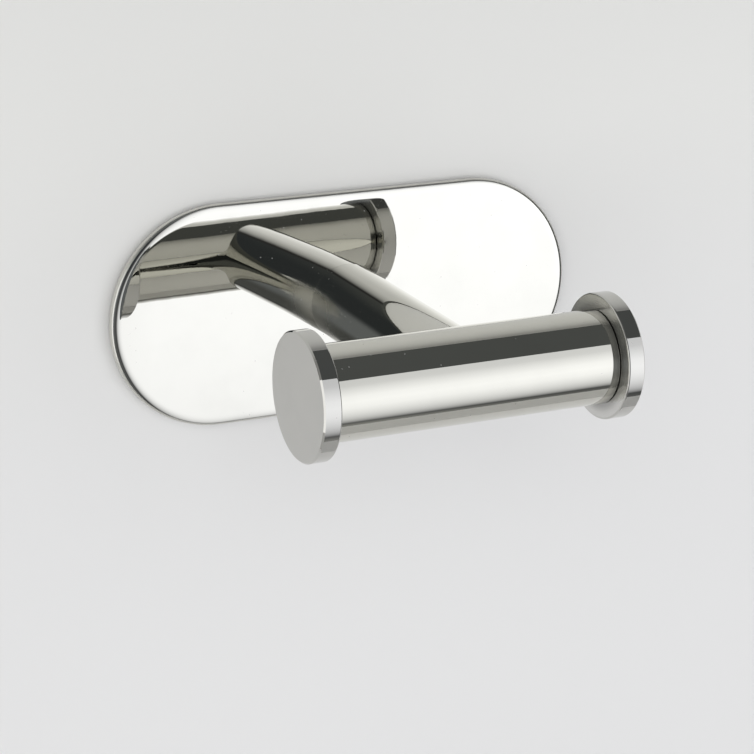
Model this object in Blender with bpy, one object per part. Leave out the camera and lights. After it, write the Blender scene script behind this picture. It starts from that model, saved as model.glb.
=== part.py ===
"""Double wall hook: a round-ended plate, one round stem and a capped cross bar.

The back of the adhesive pad is the wall plane, Y = 0, and the origin is its centre.
X runs along the bar, Z points up, and the hook reaches out towards -Y.
All sizes are in metres.
"""
import math

import bmesh
import bpy
from mathutils import Vector

# Plate: a round-ended sheet with a soft, polished rim
PLATE_LENGTH = 0.089
PLATE_HEIGHT = 0.0405
PLATE_THICKNESS = 0.0015
PLATE_FRONT_ROUND = 0.00075
PLATE_BACK_ROUND = 0.0005

# Adhesive pad behind the plate
PAD_THICKNESS = 0.0007
PAD_INSET = 0.002

# Stem between the plate and the bar
STEM_DIAMETER = 0.014
STEM_FOOT_CHAMFER = 0.0002
BAR_STANDOFF = 0.045

# Cross bar: a tube closed by two larger turned caps
BAR_LENGTH = 0.0575
TUBE_DIAMETER = 0.016
TUBE_WALL = 0.0012
TUBE_END_CHAMFER = 0.0002
CAP_DIAMETER = 0.0214
CAP_THICKNESS = 0.0031
CAP_EDGE_ROUND = 0.0003
SPIGOT_LENGTH = 0.006
SPIGOT_LEAD = 0.0005

# Tapped slug inside the tube and the countersunk bolt that clamps the hook together
INSERT_LENGTH = 0.016
INSERT_CHAMFER = 0.0004
BOLT_DIAMETER = 0.004
BOLT_HEAD_DIAMETER = 0.008
BOLT_HEAD_LAND = 0.0002
BOLT_ENGAGEMENT = 0.008
BOLT_TIP_CHAMFER = 0.0005
SOCKET_ACROSS_FLATS = 0.0025
SOCKET_DEPTH = 0.0012
TAPPED_HOLE_RUNOUT = 0.001

# Clearance between pieces that seat on or in each other
FIT_GAP = 0.0003

# Smoothness of the round forms
ROUND_STEPS = 80
PLATE_END_STEPS = 40
SMALL_ROUND_STEPS = 32
EDGE_STEPS = 3
RIM_STEPS = 5
SHARP_ANGLE = math.radians(35)

# Bevel profile that makes a quarter round
QUARTER_ROUND = 0.5

# How far a cutter runs past the faces that it opens
CUT_MARGIN = 0.002

# Places that follow from the sizes, measured out from the wall
PLATE_BACK = PAD_THICKNESS + FIT_GAP
PLATE_FACE = PLATE_BACK + PLATE_THICKNESS
STEM_FOOT = PLATE_FACE + FIT_GAP
BAR_AXIS = PLATE_FACE + BAR_STANDOFF
TUBE_RADIUS = TUBE_DIAMETER / 2
TUBE_BORE_RADIUS = TUBE_RADIUS - TUBE_WALL
TUBE_LENGTH = BAR_LENGTH - 2 * (CAP_THICKNESS + FIT_GAP)
CAP_SEAT = BAR_LENGTH / 2 - CAP_THICKNESS
INSERT_RADIUS = TUBE_BORE_RADIUS - FIT_GAP
BOLT_RADIUS = BOLT_DIAMETER / 2
BOLT_HEAD_RADIUS = BOLT_HEAD_DIAMETER / 2
PASSAGE_RADIUS = BOLT_RADIUS + FIT_GAP
BOLT_TIP = BAR_AXIS - INSERT_RADIUS + BOLT_ENGAGEMENT

# Turning a piece that was made along +Z so that it points out of the wall, or along the bar
OUT_OF_WALL = (math.pi / 2, 0, 0)
ALONG_BAR = (0, math.pi / 2, 0)
AGAINST_BAR = (0, -math.pi / 2, 0)


def clear_scene():
    """Remove whatever the opened file holds."""
    for old in list(bpy.data.objects):
        bpy.data.objects.remove(old, do_unlink=True)


def make_material(name, colour, roughness, metallic):
    """A plain Principled material."""
    material = bpy.data.materials.new(name)
    material.use_nodes = True
    shader = material.node_tree.nodes["Principled BSDF"]
    shader.inputs["Base Color"].default_value = (*colour, 1.0)
    shader.inputs["Roughness"].default_value = roughness
    shader.inputs["Metallic"].default_value = metallic
    return material


def place(name, mesh, location=(0, 0, 0), rotation=(0, 0, 0)):
    """Put a mesh into the scene as a named object."""
    piece = bpy.data.objects.new(name, mesh)
    piece.location = location
    piece.rotation_euler = rotation
    bpy.context.collection.objects.link(piece)
    return piece


def finish_mesh(bm, name, material=None):
    """Turn an edited mesh into a stored one with smooth rounds and crisp edges."""
    bmesh.ops.recalc_face_normals(bm, faces=bm.faces)
    mesh = bpy.data.meshes.new(name)
    bm.to_mesh(mesh)
    bm.free()
    mesh.shade_smooth()
    mesh.set_sharp_from_angle(angle=SHARP_ANGLE)
    if material:
        mesh.materials.append(material)
    return mesh


def corner_round(centre, radius, start, end, steps=EDGE_STEPS):
    """Points of a small arc in a turned profile, as (radius, height) pairs."""
    points = []
    for step in range(steps + 1):
        angle = math.radians(start + (end - start) * step / steps)
        points.append((centre[0] + radius * math.cos(angle), centre[1] + radius * math.sin(angle)))
    return points


def turned(name, profile, steps, material=None):
    """Spin a profile of (radius, height) points, which starts and ends on the axis, round +Z."""
    bm = bmesh.new()
    verts = [bm.verts.new((radius, 0, height)) for radius, height in profile]
    edges = [bm.edges.new(pair) for pair in zip(verts[:-1], verts[1:])]
    bmesh.ops.spin(bm, geom=verts + edges, axis=(0, 0, 1), cent=(0, 0, 0),
                   angle=2 * math.pi, steps=steps, use_merge=True)
    bmesh.ops.remove_doubles(bm, verts=bm.verts, dist=1e-6)
    return finish_mesh(bm, name, material)


def stadium_outline(length, height, steps):
    """Corner points of a round-ended outline in the XZ plane."""
    radius = height / 2
    centre = length / 2 - radius
    points = []
    for side in (1, -1):
        for step in range(steps + 1):
            angle = math.pi * step / steps - math.pi / 2
            points.append((side * (centre + radius * math.cos(angle)), side * radius * math.sin(angle)))
    return points


def stadium_slab(length, height, back, thickness):
    """A round-ended slab, from its back face outwards; also gives its front and back rim edges."""
    bm = bmesh.new()
    outline = stadium_outline(length, height, PLATE_END_STEPS)
    rear = bm.faces.new([bm.verts.new((x, -back, z)) for x, z in outline])
    extruded = bmesh.ops.extrude_face_region(bm, geom=[rear], use_keep_orig=True)
    front_verts = [item for item in extruded["geom"] if isinstance(item, bmesh.types.BMVert)]
    bmesh.ops.translate(bm, verts=front_verts, vec=Vector((0, -thickness, 0)))
    front = next(item for item in extruded["geom"] if isinstance(item, bmesh.types.BMFace))
    bmesh.ops.recalc_face_normals(bm, faces=bm.faces)
    return bm, list(front.edges), list(rear.edges)


def subtract(piece, cutter):
    """Cut one object out of another."""
    cut = piece.modifiers.new("cut " + cutter.name, "BOOLEAN")
    cut.operation = "DIFFERENCE"
    cut.solver = "EXACT"
    cut.object = cutter


def make_cutter(name, mesh, location=(0, 0, 0), rotation=(0, 0, 0)):
    """A body that only removes material."""
    cutter = place(name, mesh, location, rotation)
    cutter.hide_render = True
    cutter.display_type = "WIRE"
    return cutter


def bolt_passage_cutter():
    """The way of the bolt: its countersink in the plate, then one straight hole to the tapped end."""
    mouth_radius = BOLT_HEAD_RADIUS + math.sqrt(2) * FIT_GAP
    hole_end = BOLT_TIP + TAPPED_HOLE_RUNOUT
    cone_start = PLATE_BACK + BOLT_HEAD_LAND
    cone_depth = mouth_radius - PASSAGE_RADIUS
    profile = [
        (0, PLATE_BACK - CUT_MARGIN),
        (mouth_radius, PLATE_BACK - CUT_MARGIN),
        (mouth_radius, cone_start),
        (PASSAGE_RADIUS, cone_start + cone_depth),
        (PASSAGE_RADIUS, hole_end),
        (0, hole_end),
    ]
    mesh = turned("bolt passage", profile, SMALL_ROUND_STEPS)
    return make_cutter("bolt_passage", mesh, rotation=OUT_OF_WALL)


def bar_seat_cutter():
    """The round of the bar, with its clearance, that the stem's end is coped to."""
    radius = TUBE_RADIUS + FIT_GAP
    half_length = STEM_DIAMETER / 2 + CUT_MARGIN
    profile = [(0, -half_length), (radius, -half_length), (radius, half_length), (0, half_length)]
    mesh = turned("bar seat", profile, ROUND_STEPS)
    return make_cutter("bar_seat", mesh, (0, -BAR_AXIS, 0), ALONG_BAR)


def socket_cutter():
    """The hexagon socket in the bolt's head."""
    bm = bmesh.new()
    corner_radius = SOCKET_ACROSS_FLATS / 2 / math.cos(math.pi / 6)
    bmesh.ops.create_cone(bm, cap_ends=True, segments=6, radius1=corner_radius,
                          radius2=corner_radius, depth=2 * SOCKET_DEPTH)
    mesh = finish_mesh(bm, "hexagon socket")
    return make_cutter("hexagon_socket", mesh, (0, -PLATE_BACK, 0), OUT_OF_WALL)


def make_back_plate(material, passage):
    """Sheet plate with round ends; both rims are rolled soft, and the bolt's seat is countersunk."""
    bm, front_rim, back_rim = stadium_slab(PLATE_LENGTH, PLATE_HEIGHT, PLATE_BACK, PLATE_THICKNESS)
    bmesh.ops.bevel(bm, geom=front_rim, offset=PLATE_FRONT_ROUND, segments=RIM_STEPS,
                    profile=QUARTER_ROUND, affect="EDGES")
    remaining = [edge for edge in back_rim if edge.is_valid]
    bmesh.ops.bevel(bm, geom=remaining, offset=PLATE_BACK_ROUND, segments=EDGE_STEPS,
                    profile=QUARTER_ROUND, affect="EDGES")
    plate = place("back_plate", finish_mesh(bm, "back plate", material))
    subtract(plate, passage)


def make_adhesive_pad(material):
    """Die-cut foam pad, drawn in from the plate's rim so that it doesn't show."""
    bm, _, _ = stadium_slab(PLATE_LENGTH - 2 * PAD_INSET, PLATE_HEIGHT - 2 * PAD_INSET, 0, PAD_THICKNESS)
    place("adhesive_pad", finish_mesh(bm, "adhesive pad", material))


def make_stem(material, passage, bar_seat):
    """Round stem: faced and edge-broken at the plate, coped at its front end to straddle the bar."""
    radius = STEM_DIAMETER / 2
    profile = [
        (0, STEM_FOOT),
        (radius - STEM_FOOT_CHAMFER, STEM_FOOT),
        (radius, STEM_FOOT + STEM_FOOT_CHAMFER),
        (radius, BAR_AXIS),
        (0, BAR_AXIS),
    ]
    stem = place("stem", turned("stem", profile, ROUND_STEPS, material), rotation=OUT_OF_WALL)
    subtract(stem, bar_seat)
    subtract(stem, passage)


def make_bar_tube(material, passage):
    """Tube of the cross bar, open at both ends, with one hole in its rear wall for the bolt."""
    half = TUBE_LENGTH / 2
    bm = bmesh.new()
    section = [
        (TUBE_BORE_RADIUS, -half),
        (TUBE_RADIUS - TUBE_END_CHAMFER, -half),
        (TUBE_RADIUS, -half + TUBE_END_CHAMFER),
        (TUBE_RADIUS, half - TUBE_END_CHAMFER),
        (TUBE_RADIUS - TUBE_END_CHAMFER, half),
        (TUBE_BORE_RADIUS, half),
    ]
    verts = [bm.verts.new((radius, 0, height)) for radius, height in section]
    edges = [bm.edges.new((verts[i - 1], verts[i])) for i in range(len(verts))]
    bmesh.ops.spin(bm, geom=verts + edges, axis=(0, 0, 1), cent=(0, 0, 0),
                   angle=2 * math.pi, steps=ROUND_STEPS, use_merge=True)
    mesh = finish_mesh(bm, "bar tube", material)
    tube = place("bar_tube", mesh, (0, -BAR_AXIS, 0), ALONG_BAR)
    subtract(tube, passage)


def make_bar_insert(material, passage):
    """Solid slug in the middle of the tube, tapped across for the bolt."""
    half = INSERT_LENGTH / 2
    profile = [
        (0, -half),
        (INSERT_RADIUS - INSERT_CHAMFER, -half),
        (INSERT_RADIUS, -half + INSERT_CHAMFER),
        (INSERT_RADIUS, half - INSERT_CHAMFER),
        (INSERT_RADIUS - INSERT_CHAMFER, half),
        (0, half),
    ]
    mesh = turned("bar insert", profile, ROUND_STEPS, material)
    insert = place("bar_insert", mesh, (0, -BAR_AXIS, 0), ALONG_BAR)
    subtract(insert, passage)


def make_clamp_bolt(material, socket):
    """Countersunk bolt from behind the plate, through the stem, into the slug in the bar."""
    cone_end = PLATE_BACK + BOLT_HEAD_LAND + BOLT_HEAD_RADIUS - BOLT_RADIUS
    profile = [
        (0, PLATE_BACK),
        (BOLT_HEAD_RADIUS, PLATE_BACK),
        (BOLT_HEAD_RADIUS, PLATE_BACK + BOLT_HEAD_LAND),
        (BOLT_RADIUS, cone_end),
        (BOLT_RADIUS, BOLT_TIP - BOLT_TIP_CHAMFER),
        (BOLT_RADIUS - BOLT_TIP_CHAMFER, BOLT_TIP),
        (0, BOLT_TIP),
    ]
    mesh = turned("clamp bolt", profile, SMALL_ROUND_STEPS, material)
    bolt = place("clamp_bolt", mesh, rotation=OUT_OF_WALL)
    subtract(bolt, socket)


def end_cap_mesh(material):
    """Turned cap: a disc with both edges eased, and a spigot with a lead that plugs the tube."""
    radius = CAP_DIAMETER / 2
    spigot_radius = TUBE_BORE_RADIUS - FIT_GAP
    ease = CAP_EDGE_ROUND
    profile = [
        (0, -SPIGOT_LENGTH),
        (spigot_radius - SPIGOT_LEAD, -SPIGOT_LENGTH),
        (spigot_radius, -SPIGOT_LENGTH + SPIGOT_LEAD),
        (spigot_radius, 0),
    ]
    profile += corner_round((radius - ease, ease), ease, -90, 0)
    profile += corner_round((radius - ease, CAP_THICKNESS - ease), ease, 0, 90)
    profile.append((0, CAP_THICKNESS))
    return turned("end cap", profile, ROUND_STEPS, material)


def make_end_caps(material):
    """The same cap closes both ends of the tube."""
    mesh = end_cap_mesh(material)
    place("end_cap_left", mesh, (-CAP_SEAT, -BAR_AXIS, 0), AGAINST_BAR)
    place("end_cap_right", mesh, (CAP_SEAT, -BAR_AXIS, 0), ALONG_BAR)


def build():
    """Make every piece of the hook in its place."""
    clear_scene()
    polished_steel = make_material("polished stainless steel", (0.66, 0.65, 0.62), 0.06, 1.0)
    bolt_steel = make_material("plain stainless steel", (0.55, 0.55, 0.54), 0.35, 1.0)
    slug_steel = make_material("turned steel", (0.48, 0.48, 0.47), 0.45, 1.0)
    foam = make_material("grey adhesive foam", (0.16, 0.16, 0.165), 0.9, 0.0)

    passage = bolt_passage_cutter()
    make_back_plate(polished_steel, passage)
    make_adhesive_pad(foam)
    make_stem(polished_steel, passage, bar_seat_cutter())
    make_bar_tube(polished_steel, passage)
    make_bar_insert(slug_steel, passage)
    make_clamp_bolt(bolt_steel, socket_cutter())
    make_end_caps(polished_steel)


build()
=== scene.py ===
import math

import bmesh
import bpy
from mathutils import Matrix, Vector


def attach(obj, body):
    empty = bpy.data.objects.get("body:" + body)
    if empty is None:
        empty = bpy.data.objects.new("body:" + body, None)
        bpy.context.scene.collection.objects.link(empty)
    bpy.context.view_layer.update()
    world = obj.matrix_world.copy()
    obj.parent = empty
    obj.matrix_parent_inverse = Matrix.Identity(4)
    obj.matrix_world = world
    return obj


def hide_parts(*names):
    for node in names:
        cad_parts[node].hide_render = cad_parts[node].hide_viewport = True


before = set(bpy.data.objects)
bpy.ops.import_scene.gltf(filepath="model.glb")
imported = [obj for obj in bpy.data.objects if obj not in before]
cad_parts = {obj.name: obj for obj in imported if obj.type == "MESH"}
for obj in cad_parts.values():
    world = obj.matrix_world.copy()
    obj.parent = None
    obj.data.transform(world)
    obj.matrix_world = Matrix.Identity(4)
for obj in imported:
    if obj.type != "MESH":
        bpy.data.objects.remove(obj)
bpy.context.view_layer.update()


# The wall, a smooth board painted in a pale satin grey that the hook is stuck to.
# The board stops a forearm's length above the hook and stands on a short pale shelf, whose
# front edge shows in the polished bar as the end of a light band.
WALL_HALF_WIDTH = 1.1
WALL_TOP = 0.28
SHELF_DROP = 0.60
SHELF_DEPTH = 0.30
# Painted light tint: the board's one paint is given slightly different tints above and below the hook.
WALL_COLOUR = (0.783, 0.780, 0.757)
WALL_COLOUR_BELOW = (0.786, 0.782, 0.775)
COLOUR_CHANGE = (-0.03, 0.04)
# Painted shade: the heights between which the wall paint darkens, and how dark it is at the top.
PAINTED_SHADE_HEIGHTS = (0.022, 0.23)
PAINTED_SHADE_AT_TOP = 0.46


class Wire:
    """A socket of a shader node; sums with it add their Math nodes, and node() adds any other."""

    def __init__(self, tree, socket=None):
        self.tree = tree
        self.socket = socket

    def node(self, kind, settings=None, inputs=None, output=0):
        made = self.tree.nodes.new(kind)
        for name, value in (settings or {}).items():
            if name == "stops":
                ramp = made.color_ramp.elements
                while len(ramp) < len(value):
                    ramp.new(1.0)
                for stop, (place, colour) in zip(ramp, value):
                    stop.position = place
                    stop.color = (*colour, 1.0)
            else:
                setattr(made, name, value)
        for name, value in (inputs or {}).items():
            if isinstance(value, Wire):
                self.tree.links.new(value.socket, made.inputs[name])
            else:
                made.inputs[name].default_value = value
        return Wire(self.tree, made.outputs[output] if made.outputs else None)

    def math(self, operation, *values):
        return self.node("ShaderNodeMath", {"operation": operation}, dict(enumerate(values)))

    def vector(self, operation, *values):
        return self.node("ShaderNodeVectorMath", {"operation": operation}, dict(enumerate(values)))

    def scaled(self, vector, amount):
        """A colour or vector made stronger or weaker by an amount."""
        return self.node("ShaderNodeVectorMath", {"operation": "SCALE"}, {"Vector": vector, "Scale": amount})

    def blend(self, amount, first, second):
        """A colour between two colours."""
        inputs = {0: amount, 6: first, 7: second}
        return self.node("ShaderNodeMix", {"data_type": "RGBA"}, inputs, 2)

    def ramp(self, low, high, out_low=0.0, out_high=1.0):
        """This value, carried from one range to another and held at both ends, with eased turns."""
        inputs = {"Value": self, "From Min": low, "From Max": high, "To Min": out_low, "To Max": out_high}
        return self.node("ShaderNodeMapRange", {"interpolation_type": "SMOOTHSTEP"}, inputs)

    def part(self, axis):
        return self.node("ShaderNodeSeparateXYZ", None, {"Vector": self}, axis)

    def __add__(self, other):
        return self.math("ADD", self, other)

    def __radd__(self, other):
        return self.math("ADD", other, self)

    def __sub__(self, other):
        return self.math("SUBTRACT", self, other)

    def __rsub__(self, other):
        return self.math("SUBTRACT", other, self)

    def __mul__(self, other):
        return self.math("MULTIPLY", self, other)

    def __rmul__(self, other):
        return self.math("MULTIPLY", other, self)


def new_material(name):
    """An empty node material: its tree as a Wire to build from, and the place on the piece."""
    material = bpy.data.materials.new(name)
    material.use_nodes = True
    material.node_tree.nodes.clear()
    start = Wire(material.node_tree)
    place = start.node("ShaderNodeTexCoord", None, None, "Object")
    return material, start, place


def finish_material(start, shader):
    start.node("ShaderNodeOutputMaterial", None, {"Surface": shader})


def noise(place, scale, detail=2.0, roughness=0.5, stretch=(1, 1, 1)):
    """Soft random patches; scale counts them per metre, and stretch crowds them along an axis."""
    spread = place.node("ShaderNodeMapping", None, {"Vector": place, "Scale": stretch})
    inputs = {"Vector": spread, "Scale": scale, "Detail": detail, "Roughness": roughness}
    return place.node("ShaderNodeTexNoise", None, inputs, "Fac")


def add_primitive(add, name, **sizes):
    """Add a primitive with nothing else selected, name it, and move its place into its mesh."""
    bpy.ops.object.select_all(action="DESELECT")
    add(**sizes)
    piece = bpy.context.object
    piece.name = name
    piece.data.name = name
    bpy.ops.object.transform_apply(location=True, rotation=True, scale=True)
    return piece


def select_parts(piece, kind, passes):
    """In edit mode, select the corners, edges or faces that pass a test on their place."""
    bpy.ops.mesh.select_mode(type=kind)
    bpy.ops.mesh.select_all(action="DESELECT")
    mesh = bmesh.from_edit_mesh(piece.data)
    for part in {"VERT": mesh.verts, "EDGE": mesh.edges, "FACE": mesh.faces}[kind]:
        if passes(part):
            part.select_set(True)
    mesh.select_flush(True)
    bmesh.update_edit_mesh(piece.data)


def pull_ends_apart(piece, shift):
    """In edit mode, move the two halves of a round shape apart, which gives it round ends."""
    for side in (1, -1):
        select_parts(piece, "VERT", lambda v: v.co.x * side > 0)
        bpy.ops.transform.translate(value=(side * shift, 0, 0))


wall_paint, start, place = new_material("pale satin wall paint")
orange_peel = noise(place, 900, 3.0)
patches = noise(place, 9, 2.0)
# Painted shade: the paint grows darker upward from just above the hook, to under half at the board's top,
# for light falling off with height.
height = place.part("Z").ramp(*PAINTED_SHADE_HEIGHTS, 1.0, PAINTED_SHADE_AT_TOP)
# Painted light tint: the paint is slightly bluer below the hook's level and warmer above it.
painted_light_tint = start.blend(place.part("Z").ramp(*COLOUR_CHANGE), (*WALL_COLOUR_BELOW, 1), (*WALL_COLOUR, 1))
colour = start.scaled(painted_light_tint, height * (0.992 + 0.016 * patches))
ripple = start.node("ShaderNodeBump", None, {"Height": orange_peel, "Strength": 0.05, "Distance": 0.0002})
paint = start.node("ShaderNodeBsdfPrincipled", None, {
    "Base Color": colour, "Roughness": 0.55 + 0.1 * patches, "Specular IOR Level": 0.12, "Normal": ripple})
# Seen from behind, the board is clear. Its opening leaves the back of the pad open to view.
behind = start.node("ShaderNodeNewGeometry", None, None, "Backfacing")
clear = start.node("ShaderNodeBsdfTransparent")
finish_material(start, start.node("ShaderNodeMixShader", None, {0: behind, 1: paint, 2: clear}))

OPENING_HALF_LENGTH = 0.042
OPENING_RADIUS = 0.0177
OPENING_STEPS = 96
BOARD_SPREAD = 60
TOUCH = 0.00001

wall = add_primitive(bpy.ops.mesh.primitive_circle_add, "wall_board", vertices=OPENING_STEPS,
                     radius=OPENING_RADIUS, fill_type="NOTHING",
                     rotation=(math.pi / 2, math.pi / OPENING_STEPS, 0))
bpy.ops.object.mode_set(mode="EDIT")
pull_ends_apart(wall, OPENING_HALF_LENGTH - OPENING_RADIUS)
bpy.ops.mesh.select_all(action="SELECT")
bpy.ops.mesh.extrude_edges_move()
bpy.ops.transform.resize(value=(BOARD_SPREAD, 1, BOARD_SPREAD))
for normal, reach in (((1, 0, 0), WALL_HALF_WIDTH),
                      ((-1, 0, 0), WALL_HALF_WIDTH),
                      ((0, 0, 1), WALL_TOP),
                      ((0, 0, -1), SHELF_DROP)):
    bpy.ops.mesh.select_all(action="SELECT")
    bpy.ops.mesh.bisect(plane_co=[reach * n for n in normal], plane_no=normal, clear_outer=True)
select_parts(wall, "EDGE", lambda e: all(v.co.z < TOUCH - SHELF_DROP for v in e.verts))
bpy.ops.mesh.extrude_region_move(TRANSFORM_OT_translate={"value": (0, -SHELF_DEPTH, 0)})
bpy.ops.mesh.select_all(action="SELECT")
bpy.ops.mesh.normals_make_consistent(inside=False)
bpy.ops.object.mode_set(mode="OBJECT")
if any(face.normal.y > 0.5 for face in wall.data.polygons):
    wall.data.flip_normals()
wall.data.materials.append(wall_paint)


# The studio: one big soft light in front, right and a little below, whose shape is what the
# polished steel shows as its white bands, a tall one at the far left, two soft lamps that only
# light the wall, and a dark room round them with a lighter floor and left side.
LIGHT_DISTANCE = 0.80
LIGHT_START = -0.05

# The front light's edges and tables are in shares of its distance.
LIGHT_TOP = 0.97
LIGHT_BOTTOM = -1.62
LIGHT_LEFT = 0.07
LIGHT_LEFT_LEAN = -0.03
LIGHT_LEFT_MARGIN = 0.05
LIGHT_RIGHT = 1.45
LIGHT_BY_HEIGHT = ((-1.62, 0.10), (-1.43, 0.27), (-1.19, 0.45), (-1.0, 0.57), (-0.70, 0.75), (-0.36, 0.94),
                   (-0.12, 1.0), (0.09, 0.96), (0.36, 0.79), (0.58, 0.645), (0.70, 0.62), (0.97, 0.60))
LIGHT_BY_SIDE = ((0.0, 0.05), (0.06, 0.40), (0.12, 0.65), (0.18, 0.80), (0.25, 0.93), (0.30, 1.0))
LIGHT_PEAK = 1.56
LIGHT_TINT = (1.0, 1.01, 1.05)

sheet = add_primitive(bpy.ops.mesh.primitive_plane_add, "front_light", size=2 * LIGHT_DISTANCE,
                      location=(0, LIGHT_START - LIGHT_DISTANCE, 0), rotation=(math.pi / 2, 0, 0))
for vert in sheet.data.vertices:
    up = LIGHT_TOP if vert.co.z > 0 else LIGHT_BOTTOM
    left_edge = LIGHT_LEFT - LIGHT_LEFT_MARGIN + LIGHT_LEFT_LEAN * up
    right = LIGHT_RIGHT if vert.co.x > 0 else left_edge
    vert.co = (right * LIGHT_DISTANCE, vert.co.y, up * LIGHT_DISTANCE)
diffuser, start, place = new_material("diffuser cloth")
across = place.part("X") * (1 / LIGHT_DISTANCE)
upward = place.part("Z") * (1 / LIGHT_DISTANCE)


def stops(wire, table):
    """The value at this one's place in a table of places and values, on straight lines between."""
    low, high = table[0][0], table[-1][0]
    position = (wire - low) * (1 / (high - low))
    ramp = [((place - low) / (high - low), (value, value, value)) for place, value in table]
    return wire.node("ShaderNodeValToRGB", {"stops": ramp}, {"Fac": position})


inward = across - LIGHT_LEFT - LIGHT_LEFT_LEAN * upward
glow = stops(upward, LIGHT_BY_HEIGHT) * stops(inward, LIGHT_BY_SIDE) * (0.90 + 0.20 * across) * LIGHT_PEAK
finish_material(start, start.node("ShaderNodeEmission", None, {
    "Color": start.scaled(LIGHT_TINT, glow), "Strength": 1.0}))
sheet.data.materials.append(diffuser)
sheet.visible_camera = False
sheet.visible_shadow = False

SIDE_LIGHT_X = -0.9
SIDE_LIGHT_Y = (-0.99974, -0.25974)
SIDE_LIGHT_Z = (-1.0005, 0.4495)
SIDE_LIGHT_STRENGTH = 1.5

strip_cloth, start, place = new_material("strip light cloth")
finish_material(start, start.node("ShaderNodeEmission", None, {
    "Color": (1, 1, 1, 1), "Strength": SIDE_LIGHT_STRENGTH}))
strip = add_primitive(bpy.ops.mesh.primitive_plane_add, "side_light", size=1.0,
                      location=(SIDE_LIGHT_X, 0, 0), rotation=(0, math.pi / 2, 0))
for vert in strip.data.vertices:
    vert.co.y = max(SIDE_LIGHT_Y) if vert.co.y > 0 else min(SIDE_LIGHT_Y)
    vert.co.z = max(SIDE_LIGHT_Z) if vert.co.z > 0 else min(SIDE_LIGHT_Z)
strip.data.materials.append(strip_cloth)
strip.visible_camera = False
strip.visible_shadow = False
strip.visible_diffuse = False

for name, width, height, power, place in (("soft_key", 3.0, 2.8, 15.2, (-0.05, -1.12, 0.04)),
                                          ("soft_fill", 1.2, 1.2, 5.6, (-0.60, -0.95, 0.20))):
    lamp = bpy.data.lights.new(name, "AREA")
    lamp.shape = "RECTANGLE"
    lamp.size = width
    lamp.size_y = height
    lamp.energy = power
    lamp_object = bpy.data.objects.new(name, lamp)
    bpy.context.scene.collection.objects.link(lamp_object)
    lamp_object.location = place
    lamp_object.rotation_euler = (-Vector(place)).to_track_quat("-Z", "Y").to_euler()
    lamp_object.visible_glossy = False

CEILING = (0.118, 0.124, 0.124)
BELOW_CEILING = (0.046, 0.052, 0.058)
RIGHT_HALF = (0.095, 0.100, 0.100)
LOWER_HALF = (0.112, 0.116, 0.118)
WINDOW = (0.225, 0.240, 0.262)
WINDOW_DIRECTION = (-0.4065, -0.9034, -0.1355)
LEFT_SIDE = (0.34, 0.34, 0.335)
FLOOR = (0.45, 0.45, 0.44)
BESIDE_THE_WALL = (0.70, 0.70, 0.69)
BACKDROP = (0.72, 0.72, 0.715)

world = bpy.data.worlds.new("dark room")
world.use_nodes = True
world.node_tree.nodes.clear()
start = Wire(world.node_tree)
direction = start.node("ShaderNodeTexCoord", None, None, "Generated")
sideways, outward, upward = [direction.part(axis) for axis in "XYZ"]
off_window = start.node("ShaderNodeVectorMath", {"operation": "DISTANCE"},
                        {0: direction, 1: WINDOW_DIRECTION}, "Value")
room = start.blend(upward.ramp(0.42, 0.64), (*BELOW_CEILING, 1), (*CEILING, 1))
for amount, colour in ((sideways.ramp(-0.05, 0.45), RIGHT_HALF),
                       (upward.ramp(0.05, -0.25), LOWER_HALF),
                       (off_window.ramp(0.34, 0.15), WINDOW),
                       (sideways.ramp(-0.46, -0.62), LEFT_SIDE),
                       (upward.ramp(-0.76, -0.90), FLOOR),
                       (outward.ramp(0.25, 0.45), BESIDE_THE_WALL)):
    room = start.blend(amount, room, (*colour, 1))
from_camera = start.node("ShaderNodeLightPath", None, None, "Is Camera Ray")
seen = start.blend(from_camera, room, (*BACKDROP, 1))
start.node("ShaderNodeOutputWorld", None, {
    "Surface": start.node("ShaderNodeBackground", None, {"Color": seen, "Strength": 1.0})})
bpy.context.scene.world = world

CAMERA_LENS = 109.206
CAMERA_PLACE = (-0.16210, -0.36201, 0.11916)
CAMERA_TURN = (71.3027, -0.6826, -24.8480)

camera = bpy.data.cameras.new("camera")
camera.sensor_width = 36.0
camera.lens = CAMERA_LENS
camera_object = bpy.data.objects.new("camera", camera)
bpy.context.scene.collection.objects.link(camera_object)
camera_object.location = CAMERA_PLACE
camera_object.rotation_euler = [math.radians(turn) for turn in CAMERA_TURN]
bpy.context.scene.camera = camera_object
bpy.context.scene.view_settings.view_transform = "Standard"


# Adhesive pad: a die-cut slab of closed-cell foam between wall and plate, in charcoal grey,
# with the small burst cells of its skin. Stuck on both faces.
FOAM = (0.16, 0.16, 0.165)
FOAM_SHADE = (0.07, 0.07, 0.074)
CELLS_PER_METRE = 4200.0

foam, start, place = new_material("charcoal adhesive foam")
cells = start.node("ShaderNodeTexVoronoi", {"feature": "F1"},
                   {"Vector": place, "Scale": CELLS_PER_METRE}, "Distance")
pores = cells.ramp(0.30, 0.10)
blotch = noise(place, 260, 3.0)
shade = start.blend(pores * 0.7 + blotch * 0.2, (*FOAM, 1), (*FOAM_SHADE, 1))
skin = start.node("ShaderNodeBump", None, {
    "Height": 1 - pores + 0.4 * blotch, "Strength": 0.6, "Distance": 0.00008})
finish_material(start, start.node("ShaderNodeBsdfPrincipled", None, {
    "Base Color": shade, "Roughness": 0.86 + 0.1 * pores, "Specular IOR Level": 0.3, "Normal": skin}))
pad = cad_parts["adhesive_pad"]
for material_slot in pad.material_slots:
    material_slot.material = foam


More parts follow.
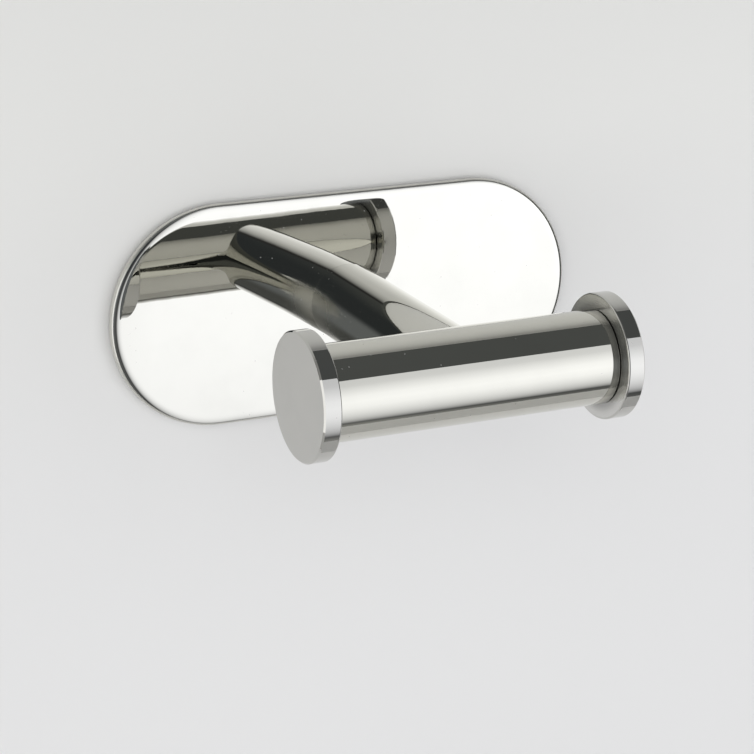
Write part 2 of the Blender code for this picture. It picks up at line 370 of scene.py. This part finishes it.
# Back plate: 1.5 mm stainless sheet with round ends, pressed very slightly crowned and
# mirror-polished, its rim rolled soft. The bolt's head sits in a countersink behind it, which is not cut
# here; the sheet has only a plain hole for the bolt.
PLATE_HALF_LENGTH = 0.0445
PLATE_RADIUS = 0.02025
PLATE_BACK = -0.0010
PLATE_FACE = -0.0025
PLATE_BACK_ROUND = 0.0005
PLATE_END_STEPS = 256
PLATE_COLOUR = (0.663, 0.657, 0.613)

# The front rim is a quarter round that runs out into a shallow polished shoulder.
RIM_ROUND = 0.00075
RIM_STEPS = 10
RIM_HAZE = 0.29
SHOULDER_WIDTH = 0.00141
SHOULDER_SLOPE = 0.20
SHOULDER_STEPS = 8

# The mirror face's crown: how much it turns per metre along, upward and across, and its lean.
CROWN_ALONG = 0.193
CROWN_UPWARD = 1.169
CROWN_TWIST = -0.155
LEAN_SIDEWAYS = 0.0312
LEAN_UPWARD = 0.0106

# A narrow margin round a flat face keeps its soft edge from bending the face's shading.
FACE_MARGIN = 0.00004
SOFT_ANGLE = 28
BOLT_WAY_RADIUS = 0.0023
BOLT_WAY_LENGTH = 0.056
BOLT_WAY_MIDDLE = -0.0230
DUST_PER_METRE = 900.0
DUST_COLOUR = (0.62, 0.62, 0.60)
DUST_COVER = 0.40


def polished_steel(name, colour, crowned=False, dull=None):
    """Mirror-polished stainless steel: buffing haze, faint wipe marks, hairlines and dust.

    A dull steel has a hazy zone on its hidden left lower side, given by how far it reaches from
    the plate, below what height it lies and how rough it is.
    """
    material, start, place = new_material(name)
    wipe = noise(place, 38, 4.0, 0.6)
    film = noise(place, 150, 3.0, 0.55)
    haze = (wipe * 0.6 + film * 0.4).ramp(0.42, 0.72)
    hairlines = noise(place, 60, 2.0, 0.6, (1, 1, 40)).ramp(0.66, 0.70)
    shade = start.blend(haze, (*colour, 1), (*[c * 0.965 for c in colour], 1))
    roughness = 0.012 + 0.030 * haze + 0.02 * hairlines
    bump = {"Height": wipe * 0.7 + film * 0.3, "Strength": 0.02, "Distance": 0.0004}
    if crowned:
        across, upward = place.part("X"), place.part("Z")
        flat_normal = start.node("ShaderNodeNewGeometry", None, None, "Normal")
        facing = flat_normal.part("Y").ramp(-0.85, -0.97)
        roughness = roughness + RIM_HAZE * (1 - facing)
        bend = start.node("ShaderNodeCombineXYZ", None, {
            "X": (across * CROWN_ALONG + upward * CROWN_TWIST + LEAN_SIDEWAYS) * facing,
            "Z": (upward * CROWN_UPWARD + across * CROWN_TWIST + LEAN_UPWARD) * facing})
        bump["Normal"] = start.vector("NORMALIZE", start.vector("ADD", flat_normal, bend))
    if dull:
        reach, top, amount = dull
        near_foot = place.part("Y").ramp(PLATE_FACE - reach, PLATE_FACE)
        hidden_side = place.part("Z").ramp(top, 0.4 * top) * place.part("X").ramp(0.002, -0.002)
        roughness = roughness + amount * near_foot * hidden_side
    surface = start.node("ShaderNodeBump", None, bump)
    metal = start.node("ShaderNodeBsdfPrincipled", None, {
        "Base Color": shade, "Metallic": 1.0, "Roughness": roughness, "Normal": surface})
    dust = start.node("ShaderNodeBsdfPrincipled", None, {"Base Color": (*DUST_COLOUR, 1), "Roughness": 0.9})
    cells = {"Vector": place, "Scale": DUST_PER_METRE}
    near = start.node("ShaderNodeTexVoronoi", None, cells, "Distance")
    chosen = start.node("ShaderNodeTexVoronoi", None, cells, "Color").part("X")
    specks = near.ramp(0.13, 0.07) * chosen.ramp(0.85, 0.87) * DUST_COVER
    finish_material(start, start.node("ShaderNodeMixShader", None, {0: specks, 1: metal, 2: dust}))
    return material


def cut_away(piece, cutter):
    """Take the shape of one piece out of another."""
    cut = piece.modifiers.new("cut", "BOOLEAN")
    cut.operation = "DIFFERENCE"
    cut.solver = "EXACT"
    cut.object = cutter
    bpy.ops.object.select_all(action="DESELECT")
    bpy.context.view_layer.objects.active = piece
    piece.select_set(True)
    bpy.ops.object.modifier_apply(modifier=cut.name)


def round_edges(piece, passes, offset, steps):
    """In edit mode, round the edges that pass a test; one step makes a chamfer."""
    select_parts(piece, "EDGE", passes)
    bpy.ops.mesh.bevel(offset=offset, offset_type="OFFSET", segments=steps, profile=0.5, affect="EDGES")


def finish_piece(piece, material, node):
    """Shade a piece smooth over its soft edges, give it its finish and put it on the hook."""
    bpy.ops.object.select_all(action="DESELECT")
    bpy.context.view_layer.objects.active = piece
    piece.select_set(True)
    bpy.ops.object.shade_smooth_by_angle(angle=math.radians(SOFT_ANGLE))
    even = piece.modifiers.new("even shading", "WEIGHTED_NORMAL")
    even.mode = "FACE_AREA"
    even.weight = 95
    even.keep_sharp = True
    bpy.ops.object.modifier_apply(modifier=even.name)
    piece.data.materials.clear()
    piece.data.materials.append(material)
    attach(piece, "root")
    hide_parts(node)


bolt_way = add_primitive(bpy.ops.mesh.primitive_cylinder_add, "bolt way", vertices=64,
                         radius=BOLT_WAY_RADIUS, depth=BOLT_WAY_LENGTH,
                         location=(0, BOLT_WAY_MIDDLE, 0), rotation=(math.pi / 2, 0, 0))

# The rim's profile, as steps inward from the plate's outline and forward from the rim's base.
edge_turns = [math.pi / 2 + (SHOULDER_SLOPE - math.pi / 2) * step / RIM_STEPS
              for step in range(RIM_STEPS + 1)]
rim_profile = [(RIM_ROUND * (1 - math.sin(turn)), RIM_ROUND * math.cos(turn)) for turn in edge_turns]
shoulder_inward, shoulder_forward = rim_profile[-1]
for step in range(1, SHOULDER_STEPS + 1):
    left = 1 - step / SHOULDER_STEPS
    rim_profile.append((shoulder_inward + SHOULDER_WIDTH * (1 - left),
                        shoulder_forward + SHOULDER_SLOPE * SHOULDER_WIDTH * (1 - left ** 3) / 3))
rim_base = PLATE_FACE + rim_profile[-1][1]
plate = add_primitive(bpy.ops.mesh.primitive_cylinder_add, "plate_sheet", vertices=PLATE_END_STEPS,
                      radius=PLATE_RADIUS, depth=PLATE_BACK - rim_base,
                      location=(0, (PLATE_BACK + rim_base) / 2, 0),
                      rotation=(math.pi / 2, math.pi / PLATE_END_STEPS, 0))
bpy.ops.object.mode_set(mode="EDIT")
pull_ends_apart(plate, PLATE_HALF_LENGTH - PLATE_RADIUS)
select_parts(plate, "FACE", lambda f: f.normal.y < -0.999)
for before, after in zip(rim_profile, rim_profile[1:]):
    bpy.ops.mesh.inset(thickness=after[0] - before[0], depth=after[1] - before[1])
round_edges(plate, lambda e: all(abs(v.co.y - PLATE_BACK) < TOUCH for v in e.verts), PLATE_BACK_ROUND, 6)
select_parts(plate, "FACE", lambda f: f.normal.y > 0.999 and len(f.verts) > 8)
bpy.ops.mesh.inset(thickness=FACE_MARGIN)
bpy.ops.object.mode_set(mode="OBJECT")
cut_away(plate, bolt_way)
finish_piece(plate, polished_steel("mirror polished plate steel", PLATE_COLOUR, crowned=True),
             "back_plate")


# Stem: a round stainless bar, faced square where it stands on the plate and coped at its
# front end to straddle the cross tube. Turned and mirror-polished, clamped by the bolt inside.
STEM_RADIUS = 0.0070
STEM_FOOT_EDGE = 0.00003
STEM_DULL = (0.018, 0.0045, 0.36)
BAR_AXIS = -0.0475
TUBE_RADIUS = 0.008
COPE_CLEARANCE = 0.00002
COPE_WIDTH = 0.03
STEEL = (0.611, 0.604, 0.552)

stem = add_primitive(bpy.ops.mesh.primitive_cylinder_add, "stem_rod", vertices=256, radius=STEM_RADIUS,
                     depth=abs(BAR_AXIS - PLATE_FACE), location=(0, (BAR_AXIS + PLATE_FACE) / 2, 0),
                     rotation=(math.pi / 2, 0, 0))
bpy.ops.object.mode_set(mode="EDIT")
round_edges(stem, lambda e: all(abs(v.co.y - PLATE_FACE) < TOUCH for v in e.verts), STEM_FOOT_EDGE, 2)
bpy.ops.object.mode_set(mode="OBJECT")
bar_seat = add_primitive(bpy.ops.mesh.primitive_cylinder_add, "bar seat", vertices=256,
                         radius=TUBE_RADIUS + COPE_CLEARANCE, depth=COPE_WIDTH,
                         location=(0, BAR_AXIS, 0), rotation=(0, math.pi / 2, 0))
cut_away(stem, bar_seat)
cut_away(stem, bolt_way)
finish_piece(stem, polished_steel("mirror polished stem steel", STEEL, dull=STEM_DULL), "stem")


# Cross tube: 16 mm stainless tube with a 1.2 mm wall, cut square and broken at its ends,
# mirror-polished along its length. One hole in its rear wall lets the bolt in.
TUBE_HALF_LENGTH = 0.02552
TUBE_WALL = 0.0012
TUBE_END_EDGE = 0.00012

tube = add_primitive(bpy.ops.mesh.primitive_cylinder_add, "cross_tube", vertices=256, radius=TUBE_RADIUS,
                     depth=2 * TUBE_HALF_LENGTH, end_fill_type="NOTHING", location=(0, BAR_AXIS, 0),
                     rotation=(0, math.pi / 2, 0))
tube_wall = tube.modifiers.new("wall", "SOLIDIFY")
tube_wall.thickness = TUBE_WALL
tube_wall.offset = -1.0
tube_wall.use_even_offset = True
bpy.ops.object.modifier_apply(modifier=tube_wall.name)
broken = tube.modifiers.new("broken ends", "BEVEL")
broken.width = TUBE_END_EDGE
broken.segments = 3
broken.limit_method = "ANGLE"
broken.angle_limit = math.radians(50)
bpy.ops.object.modifier_apply(modifier=broken.name)
cut_away(tube, bolt_way)
finish_piece(tube, polished_steel("mirror polished stainless steel", STEEL), "bar_tube")


# End caps: two turned discs, larger than the tube, so that a towel can't slip off. Their
# edges are eased, and a spigot on the inner face plugs each one into the tube.
CAP_STEEL = (0.548, 0.543, 0.516)
CAP_FACED = (0.70, 0.695, 0.675)
# Painted shade on the faced inner ring, darkest next to the tube.
CAP_PAINTED_SHADE = (0.06, 0.06, 0.06)
PAINTED_SHADE_AT_TUBE = 0.46
CAP_RADIUS = 0.0107
CAP_THICKNESS = 0.0031
CAP_SEAT = 0.02565
CAP_OUTSIDE = CAP_SEAT + CAP_THICKNESS
CAP_INNER_ROUND = 0.0003
CAP_OUTER_CHAMFER = 0.00026
SPIGOT_RADIUS = 0.0065
SPIGOT_LENGTH = 0.006
SPIGOT_LEAD = 0.0005
RINGS_PER_METRE = 5200.0

cap = add_primitive(bpy.ops.mesh.primitive_cylinder_add, "disc_cap_left", vertices=256, radius=CAP_RADIUS,
                    depth=CAP_THICKNESS, location=(-(CAP_SEAT + CAP_OUTSIDE) / 2, BAR_AXIS, 0),
                    rotation=(0, math.pi / 2, 0))
bpy.ops.object.mode_set(mode="EDIT")
round_edges(cap, lambda e: all(v.co.x > -CAP_SEAT - TOUCH for v in e.verts), CAP_INNER_ROUND, 8)
round_edges(cap, lambda e: all(v.co.x < TOUCH - CAP_OUTSIDE for v in e.verts), CAP_OUTER_CHAMFER, 1)
select_parts(cap, "FACE", lambda f: f.normal.x < -0.999 and len(f.verts) > 8)
bpy.ops.mesh.inset(thickness=FACE_MARGIN)
select_parts(cap, "FACE", lambda f: f.normal.x > 0.999 and len(f.verts) > 8)
bpy.ops.mesh.inset(thickness=FACE_MARGIN)
bpy.ops.mesh.inset(thickness=CAP_RADIUS - CAP_INNER_ROUND - FACE_MARGIN - SPIGOT_RADIUS)
bpy.ops.mesh.extrude_region_move(TRANSFORM_OT_translate={"value": (SPIGOT_LENGTH, 0, 0)})
round_edges(cap, lambda e: all(v.co.x > SPIGOT_LENGTH - CAP_SEAT - TOUCH for v in e.verts), SPIGOT_LEAD, 3)
bpy.ops.object.mode_set(mode="OBJECT")


def turned_steel(name, colour):
    """Steel faced on the lathe and only lightly polished: fine rings that blur what they mirror, and painted
    shade that darkens it towards the tube.
    """
    material, start, place = new_material(name)
    flat = start.node("ShaderNodeCombineXYZ", None, {"Y": place.part("Y") - BAR_AXIS, "Z": place.part("Z")})
    radius = start.node("ShaderNodeVectorMath", {"operation": "LENGTH"}, {"Vector": flat}, "Value")
    rings = start.node("ShaderNodeTexNoise", {"noise_dimensions": "1D"},
                       {"W": radius, "Scale": RINGS_PER_METRE, "Detail": 3.0}, "Fac")
    cloud = noise(place, 90, 3.0)
    worn = start.blend(cloud, (*colour, 1), (*[c * 0.95 for c in colour], 1))
    # Painted shade: the faced ring darkens towards the tube, where the tube shades it.
    grime_and_painted_shade = radius.ramp(TUBE_RADIUS, 0.93 * CAP_RADIUS, PAINTED_SHADE_AT_TUBE, 0.0)
    shade = start.blend(grime_and_painted_shade, worn, (*CAP_PAINTED_SHADE, 1))
    grooves = start.node("ShaderNodeBump", None, {"Height": rings, "Strength": 0.10, "Distance": 0.00002})
    finish_material(start, start.node("ShaderNodeBsdfPrincipled", None, {
        "Base Color": shade, "Metallic": 1.0, "Roughness": 0.20 + 0.08 * cloud, "Normal": grooves}))
    return material


bpy.ops.object.select_all(action="DESELECT")
cap.select_set(True)
bpy.context.view_layer.objects.active = cap
bpy.ops.object.duplicate()
right_cap = bpy.context.object
right_cap.name = "disc_cap_right"
right_cap.data.name = "disc_cap_right"
right_cap.rotation_euler = (0, math.pi, 0)
bpy.ops.object.transform_apply(location=True, rotation=True, scale=True)
cap_steel = polished_steel("mirror polished cap steel", CAP_STEEL)
faced = turned_steel("turned stainless steel", CAP_FACED)
for piece, node in ((cap, "end_cap_left"), (right_cap, "end_cap_right")):
    finish_piece(piece, cap_steel, node)
    piece.data.materials.append(faced)
    for face in piece.data.polygons:
        if abs(face.normal.x) > 0.999 and abs(face.center.x) < CAP_OUTSIDE - TOUCH:
            face.material_index = 1

for cutter in (bolt_way, bar_seat):
    bpy.data.objects.remove(cutter)


# Clamp bolt and tapped slug, both hidden inside: plain machine-made stainless steel with
# turning rings, which hold plate, stem and tube together from behind.
BOLT_STEEL = (0.55, 0.55, 0.54)
SLUG_STEEL = (0.48, 0.48, 0.47)


def machined_steel(name, colour, ring_axis, rings_per_metre):
    """Unpolished steel, as it leaves the lathe."""
    material, start, place = new_material(name)
    rings = start.node("ShaderNodeTexWave", {"wave_type": "BANDS", "bands_direction": ring_axis},
                       {"Vector": place, "Scale": rings_per_metre, "Distortion": 0.6, "Detail": 2.0}, "Fac")
    grime_and_painted_shade = noise(place, 420, 3.0)
    shade = start.blend(grime_and_painted_shade, (*colour, 1), (*[c * 0.72 for c in colour], 1))
    grooves = start.node("ShaderNodeBump", None, {"Height": rings, "Strength": 0.35, "Distance": 0.00003})
    finish_material(start, start.node("ShaderNodeBsdfPrincipled", None, {
        "Base Color": shade, "Metallic": 1.0, "Roughness": 0.30 + 0.2 * grime_and_painted_shade, "Normal": grooves}))
    return material


for node, material in (("clamp_bolt", machined_steel("plain bolt steel", BOLT_STEEL, "Y", 900)),
                       ("bar_insert", machined_steel("turned slug steel", SLUG_STEEL, "X", 700))):
    for material_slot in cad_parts[node].material_slots:
        material_slot.material = material
